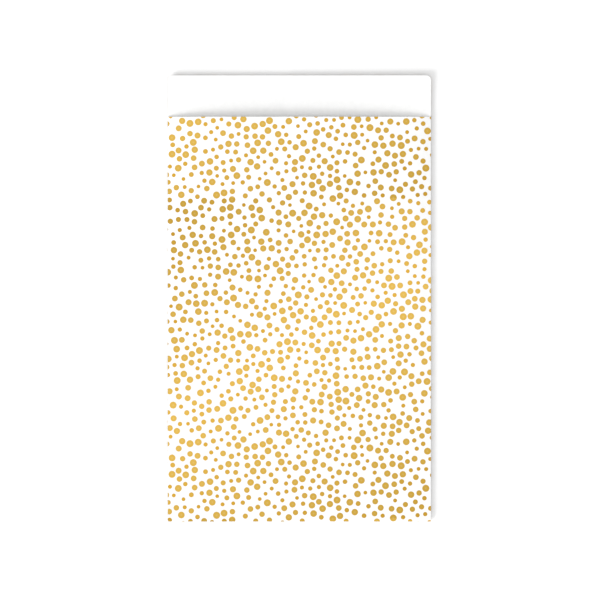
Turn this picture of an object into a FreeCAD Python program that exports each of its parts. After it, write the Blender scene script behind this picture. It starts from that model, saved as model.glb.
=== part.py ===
import FreeCAD, Part
import os

# A flat paper gift bag with a fold-over flap, lying on its back with its mouth slightly open.
# +X is to the right of the front, +Y runs from the folded bottom to the flap, +Z points out of
# the front. The origin is under the middle of the bag, on the surface that it lies on.
# Everything is in millimetres. The bag is one sheet of paper: a tube with a glued lap seam down
# its back, whose bottom end is folded up behind and glued. Each panel and each fold of that
# sheet is a solid of its own here, in the layers that the folding puts them in.

bag_width = 120.0
body_length = 184.5        # from the bottom fold to the cut lip of the front
flap_length = 18.9         # from the lip to the tip of the flap
flap_corner_radius = 2.2
turn_up_length = 18.0      # the strip folded up behind the bag to close its bottom
seam_overlap = 12.0        # how far the two back halves lap over each other
glue_margin = 1.0          # the glue stops this far inside the paper that it joins
paper = 0.12               # thickness of the paper
glue = 0.03                # thickness of a dried line of glue
air = 0.04                 # clear space between the front and the back where the bag is closed
mouth_bow = 1.8            # how far the middle of the lip stands up from the back
lip_crown = 0.5            # the share of the lip's bow that is an even curve right across
lip_side_exponent = 8      # how close to the sides the rest of the bow stays up
bow_exponent = 1.1         # how the bow grows from nothing at the bottom fold
fold_line_offset = 1.2     # from the lip to the middle of the flap's fold line
fold_line_width = 1.4      # the strip that bends when the flap closes
tightest_bend = 0.03       # a fold whose inner radius would be less than this is pressed shut
same_place = 0.01          # two points closer than this are one point

# Height of the underside of each layer, from the surface that the bag lies on.
turn_up_outer_z = 0.0
turn_up_inner_z = turn_up_outer_z + paper
bottom_glue_z = turn_up_inner_z + paper
left_half_z = bottom_glue_z + glue
seam_glue_z = left_half_z + paper
right_half_z = seam_glue_z + glue
front_z = right_half_z + paper + air
front_top_z = front_z + paper

# Places along the bag.
bottom_y = -(body_length + flap_length) / 2
lip_y = bottom_y + body_length
tip_y = lip_y + flap_length
fold_start_y = lip_y + fold_line_offset - fold_line_width / 2
fold_end_y = fold_start_y + fold_line_width
bottom_bend_radius = front_top_z / 2
panel_start_y = bottom_y + bottom_bend_radius

# Places across the bag. The side folds bulge out to the full width.
half_width = bag_width / 2
left_bend_radius = (front_top_z - left_half_z) / 2
right_bend_radius = (front_top_z - right_half_z) / 2
left_edge_x = left_bend_radius - half_width
right_edge_x = half_width - right_bend_radius
seam_edge_x = seam_overlap / 2


os.makedirs("parts", exist_ok=True)


def save(name, shape):
    """Write one piece to its own file."""
    shape.exportStep(f"parts/{name}.step")


def plate(x_start, x_end, y_start, y_end, z_bottom, thickness=paper):
    """A flat rectangle of paper or glue."""
    corner = FreeCAD.Vector(x_start, y_start, z_bottom)
    return Part.makeBox(x_end - x_start, y_end - y_start, thickness, corner)


def bend_section(z_bottom, z_top):
    """The section of a folded edge: half a ring in the YZ plane, open towards +Y."""
    outer = (z_top - z_bottom) / 2
    inner = max(outer - paper, 0.0)

    def half_circle(radius):
        ends = [FreeCAD.Vector(0, 0, z) for z in (-radius, radius)]
        return Part.Arc(ends[0], FreeCAD.Vector(0, -radius, 0), ends[1]).toShape()

    if inner < tightest_bend:
        edges = [half_circle(outer), Part.makeLine((0, 0, outer), (0, 0, -outer))]
    else:
        edges = [
            half_circle(outer),
            Part.makeLine((0, 0, outer), (0, 0, inner)),
            half_circle(inner),
            Part.makeLine((0, 0, -inner), (0, 0, -outer)),
        ]
    face = Part.Face(Part.Wire(Part.__sortEdges__(edges)))
    face.translate(FreeCAD.Vector(0, 0, (z_bottom + z_top) / 2))
    return face


def bottom_bend(x_start, x_end, z_bottom, z_top):
    """A fold along X at the bottom of the bag."""
    section = bend_section(z_bottom, z_top)
    section.translate(FreeCAD.Vector(x_start, panel_start_y, 0))
    return section.extrude(FreeCAD.Vector(x_end - x_start, 0, 0))


def side_bend(edge_x, turn, z_bottom, z_top):
    """A fold along Y at one side of the bag, from the bottom fold to the lip."""
    section = bend_section(z_bottom, z_top)
    section.rotate(FreeCAD.Vector(0, 0, 0), FreeCAD.Vector(0, 0, 1), turn)
    section.translate(FreeCAD.Vector(edge_x, panel_start_y, 0))
    return section.extrude(FreeCAD.Vector(0, lip_y - panel_start_y, 0))


def front_height(x, y):
    """Height of the underside of the front, which bows up in a flat-topped arch towards the lip."""
    across = abs(2 * (x - left_edge_x) / (right_edge_x - left_edge_x) - 1)
    arch = 1 - lip_crown * across**2 - (1 - lip_crown) * across**lip_side_exponent
    along = (y - panel_start_y) / (lip_y - panel_start_y)
    return front_z + mouth_bow * arch * along**bow_exponent


def front_panel():
    """The front, a sheet bowed up at its lip and flat at its folds."""
    columns, rows = 21, 13
    xs = [left_edge_x + (right_edge_x - left_edge_x) * i / (columns - 1) for i in range(columns)]
    ys = [panel_start_y + (lip_y - panel_start_y) * j / (rows - 1) for j in range(rows)]
    surface = Part.BSplineSurface()
    surface.interpolate([[FreeCAD.Vector(x, y, front_height(x, y)) for y in ys] for x in xs])
    return surface.toShape().extrude(FreeCAD.Vector(0, 0, paper))


def flap_half(x_seam, side, z_bottom):
    """One half of the flap, with its outer corner rounded."""
    x_outer = side * half_width
    x_low, x_high = sorted((x_seam, x_outer))
    sheet = plate(x_low, x_high, fold_end_y, tip_y, z_bottom)
    corner = [
        edge
        for edge in sheet.Edges
        if all(
            abs(v.X - x_outer) < same_place and abs(v.Y - tip_y) < same_place
            for v in edge.Vertexes
        )
    ]
    return sheet.makeFillet(flap_corner_radius, corner)


# The front and the two halves of the back, which lap over each other down the middle.
save("front_panel", front_panel())
save("left_back_panel", plate(left_edge_x, seam_edge_x, panel_start_y, fold_start_y, left_half_z))
save("right_back_panel", plate(-seam_edge_x, right_edge_x, panel_start_y, fold_start_y, right_half_z))

# The line of glue that holds the lap seam.
glue_edge_x = seam_edge_x - glue_margin
save(
    "back_seam_glue",
    plate(-glue_edge_x, glue_edge_x, panel_start_y, fold_start_y, seam_glue_z, glue),
)

# The side folds join the front to the back halves.
save("left_side_fold", side_bend(left_edge_x, -90, left_half_z, front_top_z))
save("right_side_fold", side_bend(right_edge_x, 90, right_half_z, front_top_z))

# The bottom folds: the front's ply runs round the outside, the back's plies round the inside.
save("bottom_fold", bottom_bend(-half_width, half_width, turn_up_outer_z, front_top_z))
inner_fold_tops = {
    "left": (left_edge_x, -seam_edge_x, left_half_z + paper),
    "right": (-seam_edge_x, right_edge_x, right_half_z + paper),
}
for side, (x_start, x_end, z_top) in inner_fold_tops.items():
    save(f"inner_bottom_fold_{side}", bottom_bend(x_start, x_end, turn_up_inner_z, z_top))

# The strip turned up behind the bag, both of its plies and the glue between it and the back.
turn_up_end_y = bottom_y + turn_up_length
for ply, z_bottom in (("outer", turn_up_outer_z), ("inner", turn_up_inner_z)):
    save(
        f"turn_up_{ply}_ply",
        plate(-half_width, half_width, panel_start_y, turn_up_end_y, z_bottom),
    )
save(
    "bottom_glue",
    plate(
        glue_margin - half_width,
        half_width - glue_margin,
        panel_start_y,
        turn_up_end_y - glue_margin,
        bottom_glue_z,
        glue,
    ),
)

# The flap: its fold line, its two halves and the glue between them where they lap.
fold_line_thickness = right_half_z + paper - left_half_z
save(
    "flap_fold_line",
    plate(-half_width, half_width, fold_start_y, fold_end_y, left_half_z, fold_line_thickness),
)
save("left_flap_half", flap_half(seam_edge_x, -1, left_half_z))
save("right_flap_half", flap_half(-seam_edge_x, 1, right_half_z))
save(
    "flap_seam_glue",
    plate(-glue_edge_x, glue_edge_x, fold_end_y, tip_y - glue_margin, seam_glue_z, glue),
)
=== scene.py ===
import math
import random

import bpy
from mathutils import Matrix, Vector, noise


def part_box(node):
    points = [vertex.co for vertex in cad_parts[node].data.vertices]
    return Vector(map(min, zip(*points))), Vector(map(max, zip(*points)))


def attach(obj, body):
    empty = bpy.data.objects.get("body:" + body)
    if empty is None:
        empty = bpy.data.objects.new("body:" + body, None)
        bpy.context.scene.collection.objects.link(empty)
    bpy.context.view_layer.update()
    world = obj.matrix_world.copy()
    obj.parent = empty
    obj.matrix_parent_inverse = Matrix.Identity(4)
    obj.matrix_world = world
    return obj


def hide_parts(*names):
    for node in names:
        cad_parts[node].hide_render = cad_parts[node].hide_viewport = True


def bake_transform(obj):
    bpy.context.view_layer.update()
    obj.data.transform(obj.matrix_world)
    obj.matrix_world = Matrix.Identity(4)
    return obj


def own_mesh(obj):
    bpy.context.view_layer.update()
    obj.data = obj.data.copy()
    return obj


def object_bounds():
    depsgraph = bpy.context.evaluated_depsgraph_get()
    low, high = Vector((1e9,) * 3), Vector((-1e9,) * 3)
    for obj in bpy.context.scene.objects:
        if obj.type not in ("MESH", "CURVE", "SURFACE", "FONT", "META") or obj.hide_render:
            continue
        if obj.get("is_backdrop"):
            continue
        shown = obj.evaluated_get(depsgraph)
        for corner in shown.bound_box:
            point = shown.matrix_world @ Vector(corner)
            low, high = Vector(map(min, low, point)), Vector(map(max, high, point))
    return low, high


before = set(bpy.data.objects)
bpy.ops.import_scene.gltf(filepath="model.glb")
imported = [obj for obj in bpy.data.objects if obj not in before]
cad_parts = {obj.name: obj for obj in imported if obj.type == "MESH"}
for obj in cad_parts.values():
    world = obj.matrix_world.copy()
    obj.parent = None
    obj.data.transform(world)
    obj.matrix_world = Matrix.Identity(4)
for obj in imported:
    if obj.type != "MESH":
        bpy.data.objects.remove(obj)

cad_low, cad_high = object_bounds()
MM = 0.001

# Camera. The bag lies on its back on a table and is looked at from straight above, from far
# enough away that its outline stays square and its raised lip stays straight.
view_width = 273.7 * MM
view_middle = (0.28 * MM, -0.72 * MM)
lens, sensor = 250.0, 36.0
bpy.ops.object.camera_add(location=(*view_middle, view_width * lens / sensor), rotation=(0, 0, 0))
camera = bpy.context.object
camera.name = "overhead_camera"
camera.data.lens = lens
camera.data.sensor_width = sensor
camera.data.clip_end = 20
bpy.context.scene.camera = camera


# Paper. The whole bag is one sheet of bright white paper of about 96 g/m2, calendered so that it
# is smooth with a low sheen, with its fibres just showing as a fine cloudy grain.
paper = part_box("left_back_panel")[1].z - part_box("left_back_panel")[0].z


def make_paper():
    material = bpy.data.materials.new("white_paper")
    material.use_nodes = True
    nodes, links = material.node_tree.nodes, material.node_tree.links
    shader = nodes["Principled BSDF"]
    place = nodes.new("ShaderNodeTexCoord")

    cloud = nodes.new("ShaderNodeTexNoise")
    cloud.inputs["Scale"].default_value = 420
    cloud.inputs["Detail"].default_value = 5
    links.new(place.outputs["Object"], cloud.inputs["Vector"])
    tint = nodes.new("ShaderNodeValToRGB")
    tint.color_ramp.elements[0].position = 0.3
    tint.color_ramp.elements[0].color = (0.80, 0.80, 0.795, 1)
    tint.color_ramp.elements[1].position = 0.7
    tint.color_ramp.elements[1].color = (0.835, 0.835, 0.83, 1)
    links.new(cloud.outputs["Fac"], tint.inputs["Fac"])
    links.new(tint.outputs["Color"], shader.inputs["Base Color"])

    fibre = nodes.new("ShaderNodeTexNoise")
    fibre.inputs["Scale"].default_value = 3200
    fibre.inputs["Detail"].default_value = 4
    fibre.inputs["Roughness"].default_value = 0.65
    links.new(place.outputs["Object"], fibre.inputs["Vector"])
    sheen = nodes.new("ShaderNodeMapRange")
    sheen.inputs["To Min"].default_value = 0.52
    sheen.inputs["To Max"].default_value = 0.68
    links.new(fibre.outputs["Fac"], sheen.inputs["Value"])
    links.new(sheen.outputs["Result"], shader.inputs["Roughness"])
    grain = nodes.new("ShaderNodeBump")
    grain.inputs["Strength"].default_value = 0.35
    grain.inputs["Distance"].default_value = 0.02 * MM
    links.new(fibre.outputs["Fac"], grain.inputs["Height"])
    links.new(grain.outputs["Normal"], shader.inputs["Normal"])
    shader.inputs["Specular IOR Level"].default_value = 0.35
    return material


white_paper = make_paper()


# Front. The middle of the sheet, between the two side folds, with a straight cut lip at the
# mouth. It bows up towards the middle of the lip, because the paper has been shaped by the
# former it was folded on, and it lies flat at its folds.
front_low, front_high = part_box("front_panel")
front_z = front_low.z + paper / 2
mouth_bow = front_high.z - front_low.z - paper
turn_up_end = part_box("turn_up_outer_ply")[1].y
score_spacing = 2.4 * MM
fine_cut = 0.0005 * MM
lip_crown = 0.5
lip_side_exponent = 8
bow_exponent = 1.1
ripple_height = 0.06 * MM
ripple_length = 42 * MM
ridge_height = 0.06 * MM
ridge_width = 2.5 * MM
ridge_rise = 20  # how quickly the ridge comes up from the bottom fold
paper_smooth = math.radians(40)


def flat_sheet(name, low, high, z):
    """A rectangle of the sheet lying flat at height z, facing up."""
    bpy.ops.object.select_all(action="DESELECT")
    middle = ((low[0] + high[0]) / 2, (low[1] + high[1]) / 2, z)
    bpy.ops.mesh.primitive_plane_add(size=1, location=middle)
    sheet = bpy.context.object
    sheet.name = name
    sheet.scale = (high[0] - low[0], high[1] - low[1], 1)
    bpy.ops.object.transform_apply(location=True, rotation=True, scale=True)
    return sheet


def score(sheet, direction, places):
    """Divides a sheet's mesh by a straight line at each place along direction, so that it bends there."""
    bpy.context.view_layer.objects.active = sheet
    bpy.ops.object.mode_set(mode="EDIT")
    for place in places:
        bpy.ops.mesh.select_all(action="SELECT")
        bpy.ops.mesh.bisect(plane_co=Vector(direction) * place, plane_no=direction, threshold=fine_cut)
    bpy.ops.object.mode_set(mode="OBJECT")


def evenly(low, high, spacing):
    """Places between low and high, not at either end, about spacing apart."""
    steps = max(1, round((high - low) / spacing))
    return [low + (high - low) * i / steps for i in range(1, steps)]


def front_rise(x, y):
    """How far the front stands above its flat edges."""
    across = min(1.0, abs(2 * (x - front_low.x) / (front_high.x - front_low.x) - 1))
    arch = 1 - lip_crown * across**2 - (1 - lip_crown) * across**lip_side_exponent
    along = max(0.0, (y - front_low.y) / (front_high.y - front_low.y))
    ripple = ripple_height * noise.noise(Vector((x, y, 0)) / ripple_length)
    step = min(1.0, max(0.0, (y - turn_up_end) / ridge_width))
    ridge = ridge_height * (1 - step * step * (3 - 2 * step)) * min(1.0, ridge_rise * along)
    return arch * (mouth_bow * along**bow_exponent + ripple * math.sqrt(along) + ridge)


def lay_on_front(piece, z):
    """Moves a flat piece of the front, whose paper surface is at 0, to where the front really is."""
    for vertex in piece.data.vertices:
        vertex.co.z += z + front_rise(vertex.co.x, vertex.co.y)


def thicken(sheet):
    """Gives a sheet the thickness of the paper, half to each side."""
    bpy.ops.object.select_all(action="DESELECT")
    sheet.select_set(True)
    bpy.context.view_layer.objects.active = sheet
    solid = sheet.modifiers.new("thickness", "SOLIDIFY")
    solid.thickness = paper
    solid.offset = 0
    bpy.ops.object.modifier_apply(modifier=solid.name)
    bpy.ops.object.shade_smooth_by_angle(angle=paper_smooth)
    sheet.data.materials.append(white_paper)


front = flat_sheet("front_panel_paper", front_low, front_high, 0)
score(front, (1, 0, 0), evenly(front_low.x, front_high.x, score_spacing))
score(front, (0, 1, 0), evenly(front_low.y, front_high.y, score_spacing))
lay_on_front(front, front_z)
thicken(front)
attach(front, "bag")
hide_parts("front_panel")
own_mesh(front)


# Side folds. The sheet turns under along both sides in tight half rounds. The left one is the
# larger, because the left half of the back is the outer one where the two halves lap.
side_fold_facets = 24  # of a whole turn
folds = {}
for side, node in ((-1, "left_side_fold"), (1, "right_side_fold")):
    low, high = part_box(node)
    radius = (high.z - low.z) / 2
    edge = low.x if side > 0 else high.x
    folds[side] = {"edge": edge, "z": (low.z + high.z) / 2, "radius": radius, "node": node}
    bpy.ops.object.select_all(action="DESELECT")
    bpy.ops.mesh.primitive_cylinder_add(
        vertices=side_fold_facets,
        radius=radius - paper / 2,
        depth=high.y - low.y,
        end_fill_type="NOTHING",
        location=(edge, (low.y + high.y) / 2, (low.z + high.z) / 2),
        rotation=(math.pi / 2, 0, 0),
    )
    fold = bpy.context.object
    fold.name = node + "_paper"
    bpy.ops.object.transform_apply(location=True, rotation=True, scale=True)
    bpy.ops.object.mode_set(mode="EDIT")
    bpy.ops.mesh.select_all(action="SELECT")
    bpy.ops.mesh.bisect(
        plane_co=(edge, 0, 0),
        plane_no=(side, 0, 0),
        clear_inner=True,
        threshold=fine_cut,
    )
    bpy.ops.object.mode_set(mode="OBJECT")
    thicken(fold)
    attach(fold, "bag")
    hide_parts(node)


# Back and flap. The two edges of the sheet meet behind the front and lap over each other, the
# right one inside. Both carry on past the lip as the flap, whose outer corners are rounded, and
# bend along one fold line when the flap closes. The flap's free edge curls up a little.
bend_low, bend_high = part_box("flap_fold_line")
flap_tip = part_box("left_flap_half")[1].y
flap_half_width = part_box("right_flap_half")[1].x
corner_radius = 2.2 * MM
corner_segments = 8
flap_widens = 0.3 * MM
curl_middle = 0.12 * MM
curl_corner = 0.08 * MM
curl_right = 0.15 * MM
near_seam = 20 * MM  # nothing of the outer edge is this close to the middle
bend_steps = 10
bend_scores = evenly(bend_low.y, bend_high.y, (bend_high.y - bend_low.y) / bend_steps)
bend_scores = [bend_low.y, *bend_scores, bend_high.y]


def curl_flap(piece):
    """Lifts the flap's free edge, most at its right corner."""
    for vertex in piece.data.vertices:
        out = max(0.0, (vertex.co.y - bend_high.y) / (flap_tip - bend_high.y))
        across = vertex.co.x / cad_high.x
        lift = curl_middle + curl_corner * across * across + curl_right * max(across, 0.0) ** 2
        vertex.co.z += lift * out * out


def bend_with_flap(piece):
    """Bakes a piece's placement into its mesh."""
    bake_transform(piece)


for side, name in ((-1, "left"), (1, "right")):
    panel = name + "_back_panel"
    flap = name + "_flap_half"
    low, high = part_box(panel)
    half = flat_sheet(panel + "_and_flap_paper", low, (high.x, flap_tip), (low.z + high.z) / 2)
    score(half, (0, 1, 0), (front_high.y, front_high.y + flap_widens))
    bpy.ops.object.mode_set(mode="EDIT")
    bpy.ops.mesh.select_mode(type="VERT")
    bpy.ops.mesh.select_all(action="DESELECT")
    bpy.ops.object.mode_set(mode="OBJECT")
    for vertex in half.data.vertices:
        if vertex.co.x * side > near_seam and vertex.co.y > front_high.y + flap_widens / 2:
            vertex.co.x = side * flap_half_width
            vertex.select = vertex.co.y > flap_tip - corner_radius
    bpy.ops.object.mode_set(mode="EDIT")
    bpy.ops.mesh.bevel(affect="VERTICES", offset=corner_radius, segments=corner_segments)
    bpy.ops.object.mode_set(mode="OBJECT")
    score(half, (1, 0, 0), evenly(low.x, high.x, score_spacing))
    score(half, (0, 1, 0), evenly(low.y, bend_low.y, score_spacing))
    score(half, (0, 1, 0), bend_scores)
    score(half, (0, 1, 0), evenly(bend_high.y, flap_tip, score_spacing))
    curl_flap(half)
    thicken(half)
    bend_with_flap(half)
    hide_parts(panel, flap, "flap_fold_line")


# Bottom. The flattened tube is folded up behind itself and glued, which closes the bag. The
# front's ply runs round the outside of the fold and the back's plies round the inside.
bottom_fold_facets = 32  # of a whole turn
inner_ply_spacing = 20 * MM
same_point = 0.01 * MM
bottom_low, bottom_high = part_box("bottom_fold")
bottom_fold = {
    "edge": bottom_high.y,
    "z": (bottom_low.z + bottom_high.z) / 2,
    "radius": (bottom_high.z - bottom_low.z) / 2,
}
outer_low, outer_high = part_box("turn_up_outer_ply")
turn_up = flat_sheet("bottom_fold_and_turn_up_paper", outer_low, outer_high, paper / 2)
score(turn_up, (0, 1, 0), evenly(outer_low.y, outer_high.y, score_spacing))
bpy.ops.object.select_all(action="DESELECT")
bpy.ops.mesh.primitive_cylinder_add(
    vertices=bottom_fold_facets,
    radius=bottom_fold["radius"] - paper / 2,
    depth=bottom_high.x - bottom_low.x,
    end_fill_type="NOTHING",
    location=(0, bottom_fold["edge"], bottom_fold["z"]),
    rotation=(0, math.pi / 2, 0),
)
bpy.ops.object.transform_apply(location=True, rotation=True, scale=True)
bpy.ops.object.mode_set(mode="EDIT")
bpy.ops.mesh.select_all(action="SELECT")
bpy.ops.mesh.bisect(
    plane_co=(0, bottom_fold["edge"], 0),
    plane_no=(0, -1, 0),
    clear_inner=True,
    threshold=fine_cut,
)
bpy.ops.object.mode_set(mode="OBJECT")
turn_up.select_set(True)
bpy.context.view_layer.objects.active = turn_up
bpy.ops.object.join()
bpy.ops.object.mode_set(mode="EDIT")
bpy.ops.mesh.select_all(action="SELECT")
bpy.ops.mesh.remove_doubles(threshold=same_point)
bpy.ops.mesh.normals_make_consistent(inside=False)
bpy.ops.object.mode_set(mode="OBJECT")
thicken(turn_up)
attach(turn_up, "bag")
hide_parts("bottom_fold", "turn_up_outer_ply")

inner_low, inner_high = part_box("turn_up_inner_ply")
inner_z = (inner_low.z + inner_high.z) / 2
inner_ply = flat_sheet("turn_up_inner_ply_paper", inner_low, inner_high, inner_z)
score(inner_ply, (1, 0, 0), evenly(inner_low.x, inner_high.x, inner_ply_spacing))
thicken(inner_ply)
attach(inner_ply, "bag")
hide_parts("turn_up_inner_ply")
for side in ("left", "right"):
    inner_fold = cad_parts["inner_bottom_fold_" + side]
    inner_fold.data.materials.clear()
    inner_fold.data.materials.append(white_paper)


# Glue. Thin lines of dried water-based glue hold the lap seam and the turned-up bottom. They
# show only as a hair of yellowish film between the plies.
def make_glue():
    material = bpy.data.materials.new("dried_glue")
    material.use_nodes = True
    nodes, links = material.node_tree.nodes, material.node_tree.links
    shader = nodes["Principled BSDF"]
    place = nodes.new("ShaderNodeTexCoord")
    streak = nodes.new("ShaderNodeTexNoise")
    streak.inputs["Scale"].default_value = 900
    links.new(place.outputs["Object"], streak.inputs["Vector"])
    tint = nodes.new("ShaderNodeValToRGB")
    tint.color_ramp.elements[0].color = (0.62, 0.55, 0.40, 1)
    tint.color_ramp.elements[1].color = (0.74, 0.69, 0.55, 1)
    links.new(streak.outputs["Fac"], tint.inputs["Fac"])
    links.new(tint.outputs["Color"], shader.inputs["Base Color"])
    shader.inputs["Roughness"].default_value = 0.3
    return material


dried_glue = make_glue()
for name in ("back_seam_glue", "bottom_glue", "flap_seam_glue"):
    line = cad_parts[name]
    line.data.materials.clear()
    line.data.materials.append(dried_glue)


# Foil. Gold foil is hot-stamped on the flat sheet as round dots before the sheet is folded, from
# a roller that repeats along the bag. The dots lie in an even scatter, each about the same
# distance from its nearest neighbour, and run on over the folds and off the cut edges.
print_repeat = 146 * MM
repeat_start = cad_low.y + 1.4 * MM
dot_spacing = 3.6 * MM
dot_drift = 0.12 * MM
smallest_dot = 1.72 * MM
largest_dot = 3.28 * MM
foil_above = 0.016 * MM
foil_below = 0.016 * MM
foil_dome = 0.006 * MM
print_margin = 3 * MM
dot_corners = 16
dot_rim = 0.09  # width of the rim round the dome, as a share of the dot
foil_smooth = math.radians(30)
side_fold_steps = 5
bottom_fold_steps = 7
places_tried = 16  # round each dot, before it is taken to be hemmed in
furthest_step = 1.05  # to the next dot, in dot spacings
touching = 0.9999  # a little under one, so that rounding doesn't reject a place
painted_reflection_slant = 0.48  # how far the painted reflection runs on from the left edge to the right, in repeats


def scatter(width, seed):
    """Middles and diameters of the dots of one repeat of the roller, over a web of this width."""
    draw = random.Random(seed)
    rows = int(print_repeat / dot_spacing)
    row = print_repeat / rows
    placed = {}

    def crowded(x, y):
        for i in range(int(x / row) - 2, int(x / row) + 3):
            for j in range(int(y / row) - 2, int(y / row) + 3):
                for px, py in placed.get((i, j % rows), ()):
                    away = abs(py - y)
                    if math.hypot(px - x, min(away, print_repeat - away)) < dot_spacing * touching:
                        return True
        return False

    def place(x, y):
        placed.setdefault((int(x / row), int(y / row) % rows), []).append((x, y))
        growing.append((x, y))

    growing, dots = [], []
    place(width / 2, print_repeat / 2)
    while growing:
        start = growing[draw.randrange(len(growing))]
        for _ in range(places_tried):
            turn = draw.uniform(0, 2 * math.pi)
            reach = dot_spacing * draw.uniform(1, furthest_step)
            x = start[0] + reach * math.cos(turn)
            y = (start[1] + reach * math.sin(turn)) % print_repeat
            if 0 <= x <= width and not crowded(x, y):
                place(x, y)
                break
        else:
            growing.remove(start)
    for cell in sorted(placed):
        for x, y in placed[cell]:
            middle = (x + draw.gauss(0, dot_drift), y + draw.gauss(0, dot_drift))
            dots.append((*middle, draw.uniform(smallest_dot, largest_dot)))
    return dots


# The printed web reaches from the left half's cut edge, round both side folds, to the right
# half's. Across the front it has the front's own x, and past a fold it runs on flat.
seam_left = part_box("left_back_panel")[1].x
seam_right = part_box("right_back_panel")[0].x
for fold in folds.values():
    fold["turn"] = math.pi * (fold["radius"] - paper / 2)
bottom_fold["turn"] = math.pi * (bottom_fold["radius"] - paper / 2)
web_left = folds[-1]["edge"] - folds[-1]["turn"] - (seam_left - folds[-1]["edge"])
web_right = folds[1]["edge"] + folds[1]["turn"] + (folds[1]["edge"] - seam_right)
web_bottom = bottom_fold["edge"] - bottom_fold["turn"] - (turn_up_end - bottom_fold["edge"])

repeat_dots = scatter(web_right - web_left + 2 * print_margin, seed=12)
web_dots = [
    (web_left - print_margin + x, repeat_start + y + turn * print_repeat, size)
    for turn in (-1, 0, 1)
    for x, y, size in repeat_dots
]

bpy.ops.object.select_all(action="DESELECT")
bpy.ops.mesh.primitive_circle_add(
    vertices=dot_corners,
    radius=0.5,
    fill_type="NGON",
    location=(0, 0, -foil_below),
)
one_dot = bpy.context.object
bpy.ops.object.transform_apply(location=True, rotation=True, scale=True)
bpy.ops.object.mode_set(mode="EDIT")
bpy.ops.mesh.select_mode(type="FACE")
bpy.ops.mesh.select_all(action="SELECT")
bpy.ops.mesh.extrude_region_move(TRANSFORM_OT_translate={"value": (0, 0, foil_below + foil_above)})
bpy.ops.mesh.inset(thickness=dot_rim)
bpy.ops.transform.translate(value=(0, 0, foil_dome))
bpy.ops.mesh.poke()
bpy.ops.mesh.select_all(action="SELECT")
bpy.ops.mesh.normals_make_consistent(inside=False)
bpy.ops.object.mode_set(mode="OBJECT")
# The dots' UVs give how far out from the middle each corner lies, which places the painted sheen; stamp()
# adds each dot's size share.
for face in one_dot.data.polygons:
    for corner, vertex in zip(face.loop_indices, face.vertices):
        outward = 2 * one_dot.data.vertices[vertex].co.xy.length
        one_dot.data.uv_layers.active.data[corner].uv = (outward, 0)


def stamp(name, low, high):
    """The dots that fall on a rectangle of the flat web, cut off at its edges, as one piece."""
    copies = []
    for x, y, size in web_dots:
        reach = size / 2
        if low[0] - reach < x < high[0] + reach and low[1] - reach < y < high[1] + reach:
            copy = bpy.data.objects.new(name, one_dot.data.copy())
            share = (size - smallest_dot) / (largest_dot - smallest_dot)
            for corner in copy.data.uv_layers.active.data:
                corner.uv.y = share
            copy.location = (x, y, 0)
            copy.scale = (size, size, 1)
            bpy.context.collection.objects.link(copy)
            copies.append(copy)
    bpy.ops.object.select_all(action="DESELECT")
    for copy in copies:
        copy.select_set(True)
    bpy.context.view_layer.objects.active = copies[0]
    bpy.context.view_layer.update()
    bpy.ops.object.join()
    bpy.ops.object.transform_apply(location=True, rotation=True, scale=True)
    bpy.ops.object.mode_set(mode="EDIT")
    for corner, direction in ((low, 1), (high, -1)):
        for across in ((direction, 0, 0), (0, direction, 0)):
            bpy.ops.mesh.select_all(action="SELECT")
            bpy.ops.mesh.bisect(
                plane_co=(corner[0], corner[1], 0),
                plane_no=across,
                clear_inner=True,
                use_fill=True,
                threshold=fine_cut,
            )
    bpy.ops.object.mode_set(mode="OBJECT")
    bpy.ops.object.shade_smooth_by_angle(angle=foil_smooth)
    foil = bpy.context.object
    foil.name = name
    foil.data.materials.clear()
    foil.data.materials.append(gold_foil)
    return foil


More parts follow.
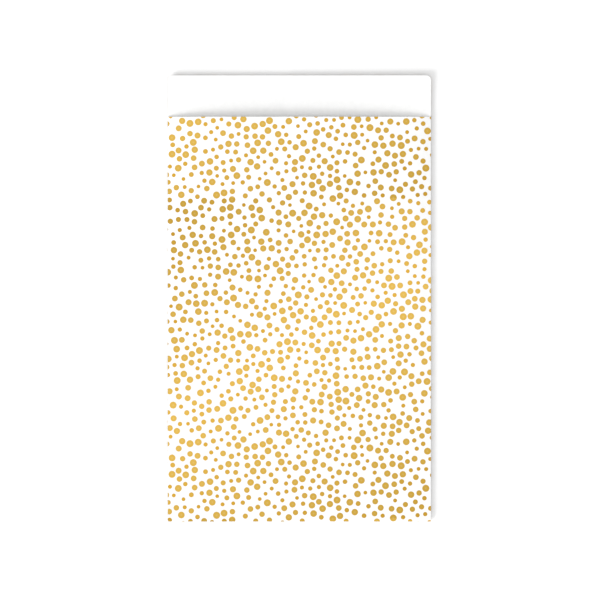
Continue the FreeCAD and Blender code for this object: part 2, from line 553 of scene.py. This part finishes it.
def make_foil():
    material = bpy.data.materials.new("gold_foil")
    material.use_nodes = True
    nodes, links = material.node_tree.nodes, material.node_tree.links
    shader = nodes["Principled BSDF"]
    place = nodes.new("ShaderNodeTexCoord")

    # Painted reflection: the foil's gold swings from a deep to a pale gold and back across each repeat of
    # the roller, slanting across the bag, in place of room light reflected in the foil.
    apart = nodes.new("ShaderNodeSeparateXYZ")
    links.new(place.outputs["Object"], apart.inputs[0])
    down = nodes.new("ShaderNodeMapRange")
    down.clamp = False
    down.inputs["From Min"].default_value = repeat_start + print_repeat
    down.inputs["From Max"].default_value = repeat_start
    links.new(apart.outputs["Y"], down.inputs["Value"])
    within = nodes.new("ShaderNodeMath")
    within.operation = "FRACT"
    links.new(down.outputs["Result"], within.inputs[0])
    across = nodes.new("ShaderNodeMapRange")
    across.inputs["From Min"].default_value = cad_low.x
    across.inputs["From Max"].default_value = cad_high.x
    across.inputs["To Max"].default_value = painted_reflection_slant
    links.new(apart.outputs["X"], across.inputs["Value"])
    slant = nodes.new("ShaderNodeMath")
    slant.operation = "ADD"
    links.new(within.outputs[0], slant.inputs[0])
    links.new(across.outputs["Result"], slant.inputs[1])
    share = nodes.new("ShaderNodeMath")
    share.operation = "DIVIDE"
    share.inputs[1].default_value = 1 + painted_reflection_slant
    links.new(slant.outputs[0], share.inputs[0])
    painted_reflection_tone = nodes.new("ShaderNodeValToRGB")
    painted_reflection_tone.color_ramp.elements[0].position = 0.07
    painted_reflection_tone.color_ramp.elements[0].color = (0.525, 0.32, 0.048, 1)
    painted_reflection_tone.color_ramp.elements[1].position = 0.95
    painted_reflection_tone.color_ramp.elements[1].color = (0.525, 0.32, 0.048, 1)
    # the pale gold is painted reflected light
    pale_reflected_gold = painted_reflection_tone.color_ramp.elements.new(0.47)
    pale_reflected_gold.color = (0.722, 0.457, 0.091, 1)
    links.new(share.outputs[0], painted_reflection_tone.inputs["Fac"])

    # A small dot is pressed deeper into the paper than a large one, so its gold is deeper too.
    dot_place = nodes.new("ShaderNodeSeparateXYZ")
    links.new(place.outputs["UV"], dot_place.inputs[0])
    pressed = nodes.new("ShaderNodeValToRGB")
    pressed.color_ramp.elements[0].position = 0.0
    pressed.color_ramp.elements[0].color = (0.96, 0.86, 0.50, 1)
    pressed.color_ramp.elements[1].position = 0.6
    pressed.color_ramp.elements[1].color = (1, 1, 1, 1)
    links.new(dot_place.outputs["Y"], pressed.inputs["Fac"])
    deeper = nodes.new("ShaderNodeMix")
    deeper.data_type = "RGBA"
    deeper.blend_type = "MULTIPLY"
    deeper.inputs["Factor"].default_value = 1
    links.new(painted_reflection_tone.outputs["Color"], deeper.inputs["A"])
    links.new(pressed.outputs["Color"], deeper.inputs["B"])

    # Painted sheen: within a dot the middle is paler than the rim, a whitish glint added to the colour,
    # the more so the larger the dot.
    middle = nodes.new("ShaderNodeMapRange")
    middle.inputs["From Max"].default_value = 0.45
    middle.inputs["To Min"].default_value = 1.0
    middle.inputs["To Max"].default_value = 0.0
    links.new(dot_place.outputs["X"], middle.inputs["Value"])
    painted_sheen_share = nodes.new("ShaderNodeMath")
    painted_sheen_share.operation = "MULTIPLY"
    links.new(middle.outputs["Result"], painted_sheen_share.inputs[0])
    links.new(dot_place.outputs["Y"], painted_sheen_share.inputs[1])
    with_painted_sheen = nodes.new("ShaderNodeMix")
    with_painted_sheen.data_type = "RGBA"
    with_painted_sheen.blend_type = "ADD"
    # the whitish glint painted onto the middle of each dot
    with_painted_sheen.inputs["B"].default_value = (0.04, 0.07, 0.07, 1)
    links.new(painted_sheen_share.outputs[0], with_painted_sheen.inputs["Factor"])
    links.new(deeper.outputs["Result"], with_painted_sheen.inputs["A"])
    links.new(with_painted_sheen.outputs["Result"], shader.inputs["Base Color"])

    shader.inputs["Metallic"].default_value = 1.0
    grain = nodes.new("ShaderNodeTexNoise")
    grain.inputs["Scale"].default_value = 3200
    grain.inputs["Detail"].default_value = 4
    links.new(place.outputs["Object"], grain.inputs["Vector"])
    gloss = nodes.new("ShaderNodeMapRange")
    gloss.inputs["To Min"].default_value = 0.22
    gloss.inputs["To Max"].default_value = 0.38
    links.new(grain.outputs["Fac"], gloss.inputs["Value"])
    links.new(gloss.outputs["Result"], shader.inputs["Roughness"])
    dents = nodes.new("ShaderNodeBump")
    dents.inputs["Strength"].default_value = 0.25
    dents.inputs["Distance"].default_value = 0.02 * MM
    links.new(grain.outputs["Fac"], dents.inputs["Height"])
    links.new(dents.outputs["Normal"], shader.inputs["Normal"])
    return material


gold_foil = make_foil()


def wrap(foil, fold, axis, side):
    """Bends a strip of foil, laid flat past a fold's edge, round the outside of the fold."""
    inner_turn = fold["radius"] - paper / 2
    for vertex in foil.data.vertices:
        angle = side * (vertex.co[axis] - fold["edge"]) / inner_turn
        reach = fold["radius"] + vertex.co.z
        vertex.co[axis] = fold["edge"] + side * reach * math.sin(angle)
        vertex.co.z = fold["z"] + reach * math.cos(angle)


# On the front.
front_foil = stamp("front_foil_dots", front_low, front_high)
lay_on_front(front_foil, front_z + paper / 2)
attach(front_foil, "bag")
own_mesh(front_foil)

# Round the side folds.
for side, fold in folds.items():
    ends = sorted((fold["edge"], fold["edge"] + side * fold["turn"]))
    foil = stamp(fold["node"] + "_foil_dots", (ends[0], front_low.y), (ends[1], front_high.y))
    score(foil, (1, 0, 0), evenly(*ends, fold["turn"] / side_fold_steps))
    wrap(foil, fold, 0, side)
    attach(foil, "bag")

# On the back and the flap's outer face. The web is turned over about the side fold. The right
# half's foil stops where the left half laps over it, and both stop at the flap's round corners.
for side, panel in ((-1, "left_back_panel"), (1, "right_back_panel")):
    fold = folds[side]
    low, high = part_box(panel)
    start = fold["edge"] + side * fold["turn"]
    end = start + side * abs(fold["edge"] - seam_left)
    ends = sorted((start, end))
    foil = stamp(panel + "_foil_dots", (ends[0], low.y), (ends[1], flap_tip))
    bpy.ops.object.select_all(action="DESELECT")
    foil.select_set(True)
    bpy.context.view_layer.objects.active = foil
    pivot = (fold["edge"] + side * fold["turn"] / 2, 0, low.z / 2)
    bpy.ops.object.mode_set(mode="EDIT")
    bpy.ops.mesh.select_all(action="SELECT")
    bpy.ops.transform.rotate(value=math.pi, orient_axis="Y", center_override=pivot)
    for step in range(1, corner_segments):
        angle = math.pi / 2 * step / corner_segments
        outward = Vector((side * math.cos(angle), math.sin(angle), 0))
        corner_middle = Vector((side * (flap_half_width - corner_radius), flap_tip - corner_radius, 0))
        bpy.ops.mesh.select_all(action="SELECT")
        bpy.ops.mesh.bisect(
            plane_co=corner_middle + corner_radius * outward,
            plane_no=outward,
            clear_outer=True,
            use_fill=True,
            threshold=fine_cut,
        )
    bpy.ops.object.mode_set(mode="OBJECT")
    score(foil, (0, 1, 0), bend_scores)
    curl_flap(foil)
    bend_with_flap(foil)

# Round the bottom fold and on the turned-up strip.
turn_end = bottom_fold["edge"] - bottom_fold["turn"]
step = bottom_fold["turn"] / bottom_fold_steps
foil = stamp("bottom_fold_foil_dots", (front_low.x, turn_end), (front_high.x, bottom_fold["edge"]))
score(foil, (0, 1, 0), evenly(turn_end, bottom_fold["edge"], step))
wrap(foil, bottom_fold, 1, -1)
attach(foil, "bag")
foil = stamp("turn_up_foil_dots", (front_low.x, web_bottom), (front_high.x, turn_end))
bpy.ops.object.select_all(action="DESELECT")
foil.select_set(True)
bpy.context.view_layer.objects.active = foil
bpy.ops.object.mode_set(mode="EDIT")
bpy.ops.mesh.select_all(action="SELECT")
pivot = (0, bottom_fold["edge"] - bottom_fold["turn"] / 2, 0)
bpy.ops.transform.rotate(value=math.pi, orient_axis="X", center_override=pivot)
bpy.ops.object.mode_set(mode="OBJECT")
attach(foil, "bag")
bpy.data.objects.remove(one_dot)


# Table and light. The bag lies loosely on a plain white table in soft even light. A broad low
# light from the lower left gives its edges a short soft shadow, and a very broad high one from
# the bottom end deepens the shade under the lip.
table_gap = 0.55 * MM
bpy.ops.object.select_all(action="DESELECT")
bpy.ops.mesh.primitive_plane_add(size=12, location=(0, 0, -table_gap))
table = bpy.context.object
table.name = "table"
table_white = bpy.data.materials.new("table_white")
table_white.use_nodes = True
table_shader = table_white.node_tree.nodes["Principled BSDF"]
table_shader.inputs["Base Color"].default_value = (0.86, 0.86, 0.86, 1)
table_shader.inputs["Roughness"].default_value = 0.9
table_shader.inputs["Specular IOR Level"].default_value = 0.1
table.data.materials.append(table_white)
table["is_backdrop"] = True

world = bpy.data.worlds.new("studio")
world.use_nodes = True
nodes, links = world.node_tree.nodes, world.node_tree.links
nodes["Background"].inputs["Strength"].default_value = 0.78
nodes["Background"].inputs["Color"].default_value = (1, 1, 1, 1)
backdrop = nodes.new("ShaderNodeBackground")
backdrop.inputs["Strength"].default_value = 1.0
backdrop.inputs["Color"].default_value = (1, 1, 1, 1)
seen = nodes.new("ShaderNodeLightPath")
either = nodes.new("ShaderNodeMixShader")
links.new(seen.outputs["Is Camera Ray"], either.inputs["Fac"])
links.new(nodes["Background"].outputs[0], either.inputs[1])
links.new(backdrop.outputs[0], either.inputs[2])
links.new(either.outputs[0], nodes["World Output"].inputs["Surface"])
bpy.context.scene.world = world


def add_sun(name, azimuth, elevation, angle, strength):
    """A light at infinity: azimuth is the side that it stands on, turning left from +X."""
    bpy.ops.object.light_add(type="SUN", location=(0, 0, 1))
    sun = bpy.context.object
    sun.name = name
    sun.rotation_euler = (0, math.radians(90 - elevation), math.radians(azimuth))
    sun.data.angle = math.radians(angle)
    sun.data.energy = strength


add_sun("low_key", azimuth=225, elevation=15, angle=26, strength=3.85)
add_sun("overhead", azimuth=270, elevation=65, angle=90, strength=0.62)
bpy.context.scene.view_settings.view_transform = "Standard"
bpy.context.scene.view_settings.look = "None"

low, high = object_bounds()
